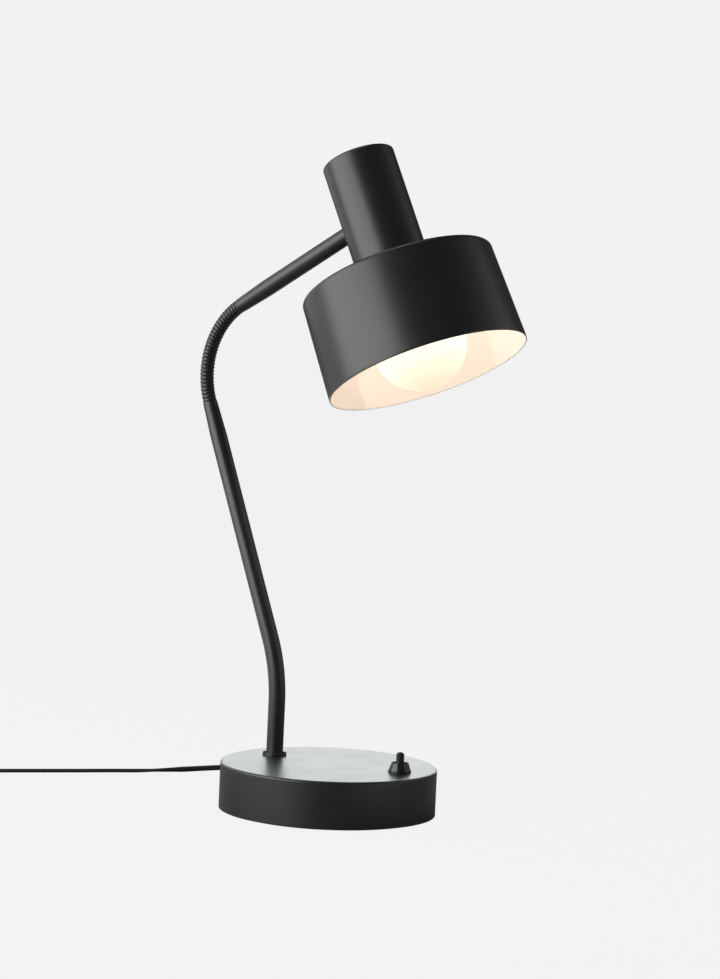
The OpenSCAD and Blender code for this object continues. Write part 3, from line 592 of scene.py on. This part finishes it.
class Finish:
    """A material with a principled shader, and the one method that adds nodes to it."""

    def __init__(self, name, **constants):
        self.material = bpy.data.materials.new(name)
        self.material.use_nodes = True
        self.tree = self.material.node_tree
        self.shader = self.tree.nodes["Principled BSDF"]
        for socket, value in constants.items():
            self.shader.inputs[socket.replace("_", " ")].default_value = value
        self.place = self.node("ShaderNodeTexCoord", output="Object")

    def node(self, kind, settings=None, inputs=None, output=0):
        made = self.tree.nodes.new(kind)
        for key, value in (settings or {}).items():
            setattr(made, key, value)
        for socket, value in (inputs or {}).items():
            if isinstance(value, Signal):
                self.tree.links.new(value.socket, made.inputs[socket])
            else:
                made.inputs[socket].default_value = value
        return Signal(self, made.outputs[output])

    def noise(self, scale, detail, roughness=0.55):
        return self.node("ShaderNodeTexNoise", inputs={
            "Vector": self.place, "Scale": scale, "Detail": detail, "Roughness": roughness})

    def cells(self, scale):
        return self.node("ShaderNodeTexVoronoi", inputs={
            "Vector": self.place, "Scale": scale}, output="Distance")

    def mix(self, factor, first, second):
        return self.node("ShaderNodeMix", {"data_type": "RGBA"},
                         {0: factor, 6: first, 7: second}, output=2)

    def feed(self, **signals):
        for socket, signal in signals.items():
            self.tree.links.new(signal.socket, self.shader.inputs[socket.replace("_", " ")])

    def bump(self, height, depth, strength):
        relief = self.node("ShaderNodeBump", inputs={
            "Strength": strength, "Distance": depth, "Height": height}, output="Normal")
        self.feed(Normal=relief)


def grey(value, tint=(1, 1, 1)):
    return (value * tint[0], value * tint[1], value * tint[2], 1)

# %% [markdown]
# ## Black finishes
# The lamp's sheet metal has a satin powder coat. Close up it has a fine grain and a slight orange
# peel where the powder flowed, and its gloss varies a little where it is thicker. The plastic and
# the cord are black too, but their surfaces come from a mould: softer, with less sparkle.

# %% Black coats and plastics
COAT_TINT = (0.94, 1.03, 1.0)


def powder_coat(name, value, roughness, grain, peel):
    """Satin powder coat: fine grain over a slow orange peel, with small changes of gloss."""
    finish = Finish(name)
    fine = finish.noise(grain, 2)
    slow = finish.noise(peel, 2)
    cloud = finish.noise(38, 3)
    shade_by = cloud * 0.5 + fine * 0.5
    dark, light = grey(value * 0.8, COAT_TINT), grey(value * 1.25, COAT_TINT)
    finish.feed(Base_Color=finish.mix(shade_by, dark, light),
                Roughness=roughness - 0.05 + cloud * 0.07 + fine * 0.05)
    finish.bump(fine * 0.35 + slow * 0.65, 0.00006, 0.55)
    return finish.material


def moulded_black(name, value, roughness, grain, depth):
    """Black moulded plastic or rubber with a spark-eroded skin."""
    finish = Finish(name, IOR=1.48)
    skin = finish.noise(grain, 4, 0.6)
    wear = finish.noise(60, 3)
    finish.feed(Base_Color=finish.mix(wear, grey(value * 0.8), grey(value * 1.3, (1.03, 1, 0.97))),
                Roughness=roughness - 0.06 + skin * 0.08 + wear * 0.06)
    finish.bump(skin, depth, 0.6)
    return finish.material


MATERIALS = {
    "black_coat": powder_coat("black_coat", 0.011, 0.35, 2600, 700),
    "neck_black": powder_coat("neck_black", 0.011, 0.33, 3200, 900),
    "black_plastic": moulded_black("black_plastic", 0.02, 0.46, 2400, 0.00004),
    "switch_gloss": moulded_black("switch_gloss", 0.01, 0.2, 900, 0.00001),
    "cord_black": moulded_black("cord_black", 0.012, 0.44, 1800, 0.00003),
    "cord_rubber": moulded_black("cord_rubber", 0.016, 0.58, 1400, 0.00005),
}
print("black finishes", list(MATERIALS))

# %% [markdown]
# ## Metals
# Zinc plating shows faint crystals, brass dulls in patches, and iron keeps the sand of its mould.
# Each is a metallic shader whose colour and gloss follow a pattern of the right size.

# %% Metals
def plated(name, low, high, roughness, spangle):
    """Plated or rolled metal: crystals change its gloss, and fine brushing gives it a grain."""
    finish = Finish(name, Metallic=1.0)
    crystals = finish.cells(spangle)
    haze = finish.noise(spangle * 0.6, 4)
    finish.feed(Base_Color=finish.mix(haze, low, high),
                Roughness=roughness + crystals * 0.12 + haze * 0.1)
    finish.bump(finish.noise(3000, 2), 0.00002, 0.4)
    return finish.material


def cast(name):
    """Sand-cast iron: coarse grains, darker in the pits."""
    finish = Finish(name, Metallic=0.6)
    sand = finish.noise(900, 5, 0.65)
    lumps = finish.noise(120, 3)
    finish.feed(Base_Color=finish.mix(sand, grey(0.035), grey(0.11, (1.03, 1, 0.95))),
                Roughness=0.55 + sand * 0.25)
    finish.bump(sand * 0.7 + lumps * 0.3, 0.0004, 0.7)
    return finish.material


MATERIALS.update({
    "cast_iron": cast("cast_iron"),
    "zinc_steel": plated("zinc_steel", (0.5, 0.52, 0.55, 1), (0.68, 0.69, 0.7, 1), 0.28, 420),
    "brass": plated("brass", (0.5, 0.33, 0.12, 1), (0.82, 0.6, 0.26, 1), 0.22, 500),
    "plug_nickel": plated("plug_nickel", (0.58, 0.55, 0.5, 1), (0.76, 0.73, 0.68, 1), 0.16, 700),
    "cap_metal": plated("cap_metal", (0.6, 0.6, 0.6, 1), (0.78, 0.78, 0.77, 1), 0.2, 600),
})
print("metals ready")

# %% [markdown]
# ## White, foam, sheath and glass
# The inside of the shade is sprayed with a warm white enamel. The pad under the base is
# closed-cell foam, the wires have a woven sheath, and the small parts of the bulb are glass.

# %% White enamel and other pale finishes
def enamel(name, value, roughness, tint=(1, 0.985, 0.95)):
    """Sprayed white enamel with a soft orange peel."""
    finish = Finish(name)
    peel = finish.noise(520, 3)
    cloud = finish.noise(24, 2)
    finish.feed(Base_Color=finish.mix(cloud, grey(value * 0.97, tint), grey(value * 1.02, tint)),
                Roughness=roughness + peel * 0.08)
    finish.bump(peel, 0.00008, 0.5)
    return finish.material


def foam(name):
    """Closed-cell foam: a skin of small round cells."""
    finish = Finish(name, IOR=1.4)
    cells = finish.cells(1600)
    finish.feed(Base_Color=finish.mix(cells, grey(0.02), grey(0.05)), Roughness=0.85 + cells * 0.1)
    finish.bump(cells, 0.0003, 0.7)
    return finish.material


def sheath(name):
    """Woven wire sheath: two crossed waves."""
    finish = Finish(name)
    waves = [finish.node("ShaderNodeTexWave", {"bands_direction": direction},
                         {"Vector": finish.place, "Scale": 520, "Distortion": 0.6}, output="Fac")
             for direction in ("DIAGONAL", "Z")]
    weave = waves[0] * waves[1]
    finish.feed(Base_Color=finish.mix(weave, (0.5, 0.46, 0.36, 1), (0.78, 0.74, 0.64, 1)),
                Roughness=0.75 - weave * 0.15)
    finish.bump(weave, 0.0002, 0.8)
    return finish.material


def lit_glass(name, inner, outer, low, high):
    """Frosted glass lit from inside: creamy in the middle, warmer towards the tip."""
    finish = Finish(name, Roughness=0.5, Emission_Strength=1.0)
    axis = finish.node("ShaderNodeVectorMath", {"operation": "DOT_PRODUCT"},
                       {0: finish.place, 1: tuple(HEAD_UP)}, output="Value")
    rise = finish.node("ShaderNodeMapRange", inputs={0: axis, 1: low, 2: high, 3: 0.0, 4: 1.0})
    frost = finish.noise(260, 4, 0.6)
    finish.feed(Emission_Color=finish.mix(rise + frost * 0.16 - 0.08, outer, inner),
                Base_Color=finish.mix(frost, grey(0.06), grey(0.1)))
    return finish.material


def glow_wire(name):
    """A coiled filament: bright turns with darker gaps."""
    finish = Finish(name, Roughness=0.6, Emission_Strength=3.0)
    turns_of_wire = finish.node("ShaderNodeTexWave", {"bands_direction": "X"},
                                {"Vector": finish.place, "Scale": 900}, output="Fac")
    finish.feed(Emission_Color=finish.mix(turns_of_wire, (1, 0.35, 0.08, 1), (1, 0.75, 0.4, 1)))
    return finish.material


def bead_glass(name, tint, roughness):
    """Pressed glass or ceramic bead with faint ripples."""
    finish = Finish(name, IOR=1.5)
    ripple = finish.noise(180, 2)
    finish.feed(Base_Color=finish.mix(ripple, grey(tint * 0.85), grey(tint * 1.1)),
                Roughness=roughness + ripple * 0.06)
    finish.bump(ripple, 0.0002, 0.4)
    return finish.material


glow_low = GLOBE_CENTRE.dot(HEAD_UP) - BULB_RADIUS
MATERIALS.update({
    "white_enamel": enamel("white_enamel", 0.88, 0.4),
    "white_plastic": enamel("white_plastic", 0.74, 0.38, (1, 0.99, 0.96)),
    "pad_foam": foam("pad_foam"),
    "lead_sheath": sheath("lead_sheath"),
    "bulb_glow": lit_glass("bulb_glow", (1.5, 1.22, 0.9, 1), (0.98, 0.8, 0.6, 1),
                           glow_low, glow_low + BULB_RADIUS * 0.6),
    "filament": glow_wire("filament"),
    "clear_glass": bead_glass("clear_glass", 0.6, 0.08),
    "cap_insulator": bead_glass("cap_insulator", 0.02, 0.15),
})
print("finishes", len(MATERIALS))

# %% [markdown]
# ## Giving every part its finish
# The record names a slot for each CAD part, so one loop dresses them all. The new pieces follow,
# and the shade takes the enamel on the faces that were marked as its inside.

# %% Dress the parts
def dress(piece, *names):
    piece.data.materials.clear()
    for name in names:
        piece.data.materials.append(MATERIALS[name])


for row in frame["record"]["subparts"]:
    dress(frame["nodes"][row["node"]], row["material_slot"])
marks = [face.material_index for face in shade.data.polygons]
dress(shade, "black_coat", "white_enamel")
shade.data.polygons.foreach_set("material_index", marks)
dress(flex, "cord_black")
dress(globe, "bulb_glow")
dress(spring, "zinc_steel")
for skin in neck_skins:
    dress(skin, "neck_black")
print("parts dressed", len(frame["nodes"]))

# %% [markdown]
# ## Light
# Satin black shows little colour of its own: its shape is drawn by what it reflects. One large
# soft box stands to the left and lights the left of each round part with a broad, even sheen. Weak
# ones above, to the right and behind the left one lift the edges out of the black, and a pale card
# lies on the floor. A box behind the lamp gives the base its pale top, and a small card its bright
# front edge, so those two are linked to the base cover and light nothing else.

# %% Soft boxes
COOL = (0.955, 1.0, 0.985)


def facing(right, away, height):
    """A point in the room, placed as seen from the camera."""
    return CAMERA_RIGHT * right + CAMERA_AWAY * away + Vector((0, 0, height))


def softbox(name, right, away, height, towards, width, tall, radiance, only=None):
    """A soft box that faces a point, placed as seen from the camera: to the right, away and up."""
    where = facing(right, away, height)
    light = bpy.data.lights.new(name, "AREA")
    light.shape = "RECTANGLE"
    light.size = width
    light.size_y = tall
    light.energy = radiance * math.pi * width * tall
    light.color = COOL
    box = bpy.data.objects.new(name, light)
    bpy.context.scene.collection.objects.link(box)
    turn = (towards - where).to_track_quat("-Z", "Y")
    box.matrix_world = Matrix.Translation(where) @ turn.to_matrix().to_4x4()
    box.visible_camera = False
    if only:
        lit = bpy.data.collections.new(name + "_lights")
        for part in only:
            lit.objects.link(frame["nodes"][part])
        box.light_linking.receiver_collection = lit


softbox("left_box", -1.3, -0.97, 0.82, facing(0, -0.97, 0.82), 2.4, 1.6, 4.4)
softbox("left_rear_box", -1.5, 1.3, 0.8, facing(0, 0, 0.4), 1.4, 1.5, 1.1)
softbox("floor_card", -0.85, 0.2, 0.01, facing(-0.85, 0.2, 1), 1.0, 2.6, 0.8)
softbox("right_box", 1.9, 0, 0.9, facing(0, 0, 0.9), 2.8, 1.7, 0.65)
softbox("front_card", 0.34, -0.32, 0.005, facing(0.34, -0.32, 1), 0.3, 0.4, 3.0,
        only=["base_cover"])
softbox("top_box", -0.3, 0.1, 1.6, facing(0, 0, 0.25), 0.9, 0.9, 1.4)
softbox("back_box", 0, 2.2, 0.62, facing(0, 0, 0.03), 2.2, 1.1, 3.15,
        only=["base_cover"])

# %% Light in the bulb
BULB_POWER = 0.265
LIGHT_SHIFT = 0.01
LIGHT_SIZE = 0.8
inner_light = bpy.data.lights.new("bulb_light", "POINT")
inner_light.energy = BULB_POWER
inner_light.color = (1.0, 0.74, 0.65)
inner_light.shadow_soft_size = BULB_RADIUS * LIGHT_SIZE
inner = bpy.data.objects.new("bulb_light", inner_light)
bpy.context.scene.collection.objects.link(inner)
inner.parent = globe
inner.location = GLOBE_CENTRE - CAMERA_RIGHT * LIGHT_SHIFT
print("bulb light at", [round(value, 3) for value in GLOBE_CENTRE])

# %% [markdown]
# ## Floor and surroundings
# The lamp stands on a seamless pale sheet. To the camera the sheet and the far surroundings are
# the same light grey, with only a breath of shadow under the base. To the lamp they are much
# darker, or the black coat would reflect a white floor.

# %% Floor
FLOOR_SIZE = 60
FLOOR_SHADES = {"seen": (0.02, 0.875), "unseen": (0.3, 0.0)}


def pale(value):
    return (value, value, value, 1)


def by_view(tree, seen, unseen):
    """Shows one shader to the camera and another to the lamp."""
    path = tree.nodes.new("ShaderNodeLightPath")
    choice = tree.nodes.new("ShaderNodeMixShader")
    tree.links.new(path.outputs["Is Camera Ray"], choice.inputs[0])
    tree.links.new(unseen.outputs[0], choice.inputs[1])
    tree.links.new(seen.outputs[0], choice.inputs[2])
    return choice


start_clean()
bpy.ops.mesh.primitive_plane_add(size=FLOOR_SIZE, location=(0, 0, 0))
floor = bpy.context.object
floor.name = "floor"
floor_material = bpy.data.materials.new("floor_sheet")
floor_material.use_nodes = True
floor_tree = floor_material.node_tree
floor_tree.nodes.clear()
sheets = {}
for kind, (albedo, glow) in FLOOR_SHADES.items():
    matte = floor_tree.nodes.new("ShaderNodeBsdfDiffuse")
    matte.inputs["Color"].default_value = pale(albedo)
    shine = floor_tree.nodes.new("ShaderNodeEmission")
    shine.inputs["Color"].default_value = pale(glow)
    sheets[kind] = floor_tree.nodes.new("ShaderNodeAddShader")
    floor_tree.links.new(matte.outputs[0], sheets[kind].inputs[0])
    floor_tree.links.new(shine.outputs[0], sheets[kind].inputs[1])
floor_look = by_view(floor_tree, sheets["seen"], sheets["unseen"])
floor_out = floor_tree.nodes.new("ShaderNodeOutputMaterial")
floor_tree.links.new(floor_look.outputs[0], floor_out.inputs["Surface"])
floor.data.materials.append(floor_material)
print("floor", FLOOR_SIZE, "m across")

# %% Surroundings
SURROUND = 0.07
BACKDROP = 0.887
world = bpy.data.worlds.new("studio")
bpy.context.scene.world = world
world.use_nodes = True
world_tree = world.node_tree
world_tree.nodes.clear()
room = world_tree.nodes.new("ShaderNodeBackground")
room.inputs["Color"].default_value = pale(SURROUND)
backdrop = world_tree.nodes.new("ShaderNodeBackground")
backdrop.inputs["Color"].default_value = pale(BACKDROP)
world_look = by_view(world_tree, backdrop, room)
world_out = world_tree.nodes.new("ShaderNodeOutputWorld")
world_tree.links.new(world_look.outputs[0], world_out.inputs["Surface"])
bpy.context.scene.view_settings.view_transform = "Standard"
print("surroundings ready")
